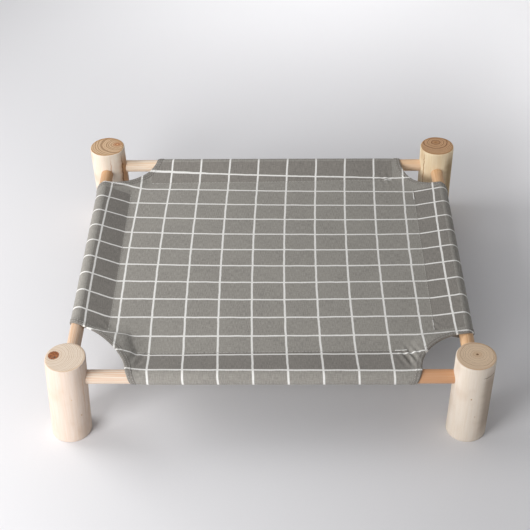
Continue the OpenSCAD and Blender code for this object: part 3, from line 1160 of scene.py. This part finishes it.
def make_light():
    """Soft light from the front left, with a fill from above and two washes."""
    area_light("key_softbox", (-0.8, -1.0, 0.5), (0, 0, 0.05), (0.6, 0.6), 12.2)
    area_light("left_softbox", (-0.9, 0.15, 0.65), (-0.05, 0, 0.05), (0.6, 0.6), 5.3)
    area_light("top_fill", (-0.2, 0.0, 2.0), (0, 0, 0), (1.8, 1.8), 4.1)
    # These two only wash the backdrop behind the bed and to its right, which keeps it even.
    area_light("back_wash", (0.15, 1.0, 1.1), (0.15, 1.0, 0), (1.0, 0.5), 2.4, spread=75)
    area_light("right_wash", (0.8, 0.1, 1.0), (0.8, 0.1, 0), (0.2, 1.2), 3, spread=55)
    world = bpy.data.worlds.new("studio")
    bpy.context.scene.world = world
    world.use_nodes = True
    world.node_tree.nodes.clear()
    air = add_node(world.node_tree, "ShaderNodeBackground", {"Color": colour("#f2f3f5"), "Strength": 0.28})
    add_node(world.node_tree, "ShaderNodeOutputWorld", {"Surface": air})
    bpy.context.scene.view_settings.view_transform = "Standard"


# ---------------------------------------------------------------- the bed

# Angles run round each log from +X, in degrees, and heights and places on its end are in millimetres.
# swells: angle, height, size and swelling. bold_rings: radius, width and share.
# spots: place, size and two tones. marks: angle, bottom, top, width, colour and share.
# nicks: first and last angle, height, width, colour and share. specks: angle, height, size and colour.
LOGS = [
    dict(
        node="post_front_left", body=END, rails=("rail_front", "rail_left"), seed=11, radius=22.9 * MM,
        taper=-0.02, uneven=0.22 * MM, foot=(-3.2, 0.0), head=(0.5, -0.6), cut_tilt=(0.01, 0.06),
        swells=[(-38, 60, 9, 0.5), (-12, 40, 16, -0.7)],
        pith=(-12.7, 2.8), squeeze=1.0, ring=1.9, early="#e3d4c3", late="#c5aa8f", heart="#d3b18d",
        heart_size=18.0, heart_depth=0.2, bold="#b18e69", bold_rings=[],
        spots=[(0.0, 0.0, 6.6, "#6b3008", "#a85c1a"), (1.7, -2.6, 1.6, "#2a1004", "#451d08")],
        rim="#d1a97b", rim_depth=0.5,
        cream="#e3d2c5", yellow="#d5b593", stain="#c7a27c", streaky=0.25, patchy=0.25,
        marks=[(-34, 20, 108, 1.4, "#d0a878", 0.35), (-12, 10, 80, 2.2, "#c9a077", 0.35)],
        specks=[(-52, 38, 1.2, "#c79b68"), (-75, 66, 0.8, "#d2ac7c")]),
    dict(
        node="post_front_right", body=MAIN, rails=("rail_front", "rail_right"), seed=12, radius=22.5 * MM,
        taper=-0.01, uneven=0.25 * MM, foot=(-1.8, 0.0), head=(0.2, -0.2), cut_tilt=(0.0, 0.03),
        swells=[(-60, 20, 14, 0.3)],
        pith=(1.5, 2.4), squeeze=1.05, ring=1.55, early="#ecd3b6", late="#bc9d80", heart="#cea57c",
        heart_size=9.0, heart_depth=0.5, bold="#a87e5d", bold_rings=[(18.6, 0.8, 0.4)],
        spots=[(0.0, 0.0, 1.7, "#5a3516", "#7a4c24")],
        rim="#cea177", rim_depth=0.55,
        cream="#e7dbcd", yellow="#d6bfa2", stain="#c4a88e", streaky=0.2, patchy=0.3,
        # The two wide marks down the right side are painted shade, where the log turns from the light.
        marks=[(-44, 2, 111, 14.0, "#8d745a", 0.55), (-12, 2, 111, 12.0, "#8d745a", 0.55)],
        nicks=[(-76, -20, 98, 0.9, "#7d6448", 0.75)],
        specks=[(-100, 67, 1.1, "#b9976c"), (-84, 40, 0.8, "#c0a07a"), (-30, 96, 1.1, "#8a7864")]),
    dict(
        node="post_back_left", body=END, rails=("rail_back", "rail_left"), seed=13, radius=23.0 * MM,
        taper=0.02, uneven=0.5 * MM, foot=(4.0, 0.0), head=(0.4, 0.6), cut_tilt=(0.0, 0.0),
        swells=[(-20, 85, 7, 0.9), (0, 60, 8, 0.8), (-8, 104, 6, -0.7), (-48, 100, 10, 0.5)],
        pith=(13.5, 6.4), squeeze=1.1, ring=3.1, early="#e2c3a0", late="#9c724c", heart="#aa5b23",
        heart_size=9.0, heart_depth=0.9, bold="#754929", bold_rings=[(22.5, 0.9, 0.85), (12.4, 0.7, 0.5)],
        spots=[(0.0, 0.0, 1.6, "#f6d8ac", "#ecbb7c")],
        rim="#b4824d", rim_depth=0.6,
        cream="#f0e3d4", yellow="#e6cfb2", stain="#c89462", streaky=0.3, patchy=0.35,
        # The wide mark down the right side is partly the log's own orange inner bark and partly painted shade.
        # The thin ones are cracks.
        marks=[
            (-74, 20, 112, 0.8, "#bb7430", 0.8), (-22, 0, 116, 12.0, "#c78a4e", 0.8),
            (-33, 0, 116, 1.3, "#74451f", 0.8)],
        specks=[(-30, 92, 1.6, "#8a5a30")]),
    dict(
        node="post_back_right", body=MAIN, rails=("rail_back", "rail_right"), seed=14, radius=22.5 * MM,
        taper=0.01, uneven=0.35 * MM, foot=(0.0, 0.0), head=(0.0, 0.0), cut_tilt=(0.0, 0.0),
        swells=[(-150, 70, 9, -0.9), (-132, 70, 5, 0.5)],
        pith=(-1.0, 9.0), squeeze=1.1, ring=2.3, early="#e2b991", late="#a8764e", heart="#aa6d37",
        heart_size=7.5, heart_depth=0.6,
        bold="#935a34", bold_rings=[(5.6, 1.0, 0.85), (11.4, 0.6, 0.5), (16.2, 1.1, 0.9)],
        spots=[(0.0, 0.0, 1.4, "#c08a50", "#a86c34")],
        rim="#b68049", rim_depth=0.75,
        cream="#f7e4c3", yellow="#e9ca98", stain="#bc8e5e", streaky=0.35, patchy=0.4,
        # The wide mark down the right side is painted shade, where the log turns from the light.
        marks=[(-142, 36, 116, 1.2, "#a9743c", 0.9), (-38, 0, 116, 12.5, "#8f7040", 0.75)],
        specks=[]),
]
CORNERS = [("left", "front"), ("right", "front"), ("left", "back"), ("right", "back")]

# The rails: the way each runs, its pale and warm tones, and how far it warms from one end to the other. The
# pale ends face the key light: partly the wood's own tone, partly painted highlight.
RAILS = [
    ("rail_front", "X", "#e9dccc", "#cf9362", (0.0, 0.8)),
    ("rail_back", "X", "#fbebd8", "#e6b98a", (0.0, 0.55)),
    ("rail_left", "Y", "#dbc5b1", "#c69158", (0.0, 0.6)),
    ("rail_right", "Y", "#f4cea6", "#c79462", (0.2, 0.2)),
]
# Where the rails' wood pattern is measured from, in millimetres.
GRAIN_MIDDLE = (3, -7, 70)


def make_logs():
    """The four logs, each in place of its post."""
    for log in LOGS:
        name = log["node"].replace("post", "log")
        side_wood = log_side_wood(name + "_side", log)
        obj = make_log(name, log, side_wood, log_end_grain(name + "_end_grain", log))
        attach(obj, log["body"])
        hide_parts(log["node"])


def finish_rails():
    """The rails are the frame's own, with wood on them."""
    for rail, axis, pale, warm, ends in RAILS:
        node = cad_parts[rail]
        wood = dowel_wood(rail.replace("rail", "pine_dowel"), axis, pale, warm, ends, GRAIN_MIDDLE)
        node.data.materials.clear()
        node.data.materials.append(wood)


def join_across(piece):
    """Bakes a cloth piece's placement into its mesh."""
    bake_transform(piece)


def hem_corners(canvas, tree):
    """The hem round each corner's cut-out, and its stitches."""
    pieces = []
    for across_side, along_side in CORNERS:
        corner = along_side + "_" + across_side
        hem = make_hem("hem_on_" + corner, across_side, along_side, canvas)
        join_across(hem)
        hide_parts("hem_" + corner)
        rows = make_hem_stitches("hem_stitches_" + corner, across_side, along_side, tree)
        join_across(rows)
        pieces += [hem, rows]
    return pieces


def sew_seams(tree, white_tree):
    """The four seams' stitches, and the white bars that lock some of their ends."""
    pieces = []
    for side in SEAM:
        rows = make_seam_stitches(side, tree)
        join_across(rows)
        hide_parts("seam_thread_" + side)
        pieces.append(rows)
    for side, end, start, stop, thickness in BARTACKS:
        bar = make_bartack(side, end, start, stop, thickness, white_tree)
        join_across(bar)
        pieces.append(bar)
    return pieces


def make_cloth():
    """The sling, its hems and its stitches."""
    single = checked_canvas("checked_canvas", "#85817c", "#aba79f")
    # A darker copy of the canvas for the doubled slopes and the hems: painted shade, where less light comes
    # through.
    double_painted_shade = checked_canvas("checked_canvas_double_painted_shade", "#77736e", "#99948d")
    grey_thread = sewing_thread("grey_polyester_thread", "#a5a29c", "#c9c6c0")
    white_thread = sewing_thread("white_polyester_thread", "#e4e2de", "#f6f5f2")
    sling, flat_size, flat_area = make_sling(single, double_painted_shade)
    join_across(sling)
    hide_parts("sling_panel", "sleeve_front", "sleeve_back", "sleeve_left", "sleeve_right")
    tree = stitch_tree(grey_thread)
    # The hems take the darker canvas too: painted shade.
    on_cloth = hem_corners(double_painted_shade, tree) + sew_seams(tree, stitch_tree(white_thread))


make_camera()
make_floor()
make_light()
make_logs()
finish_rails()
make_cloth()
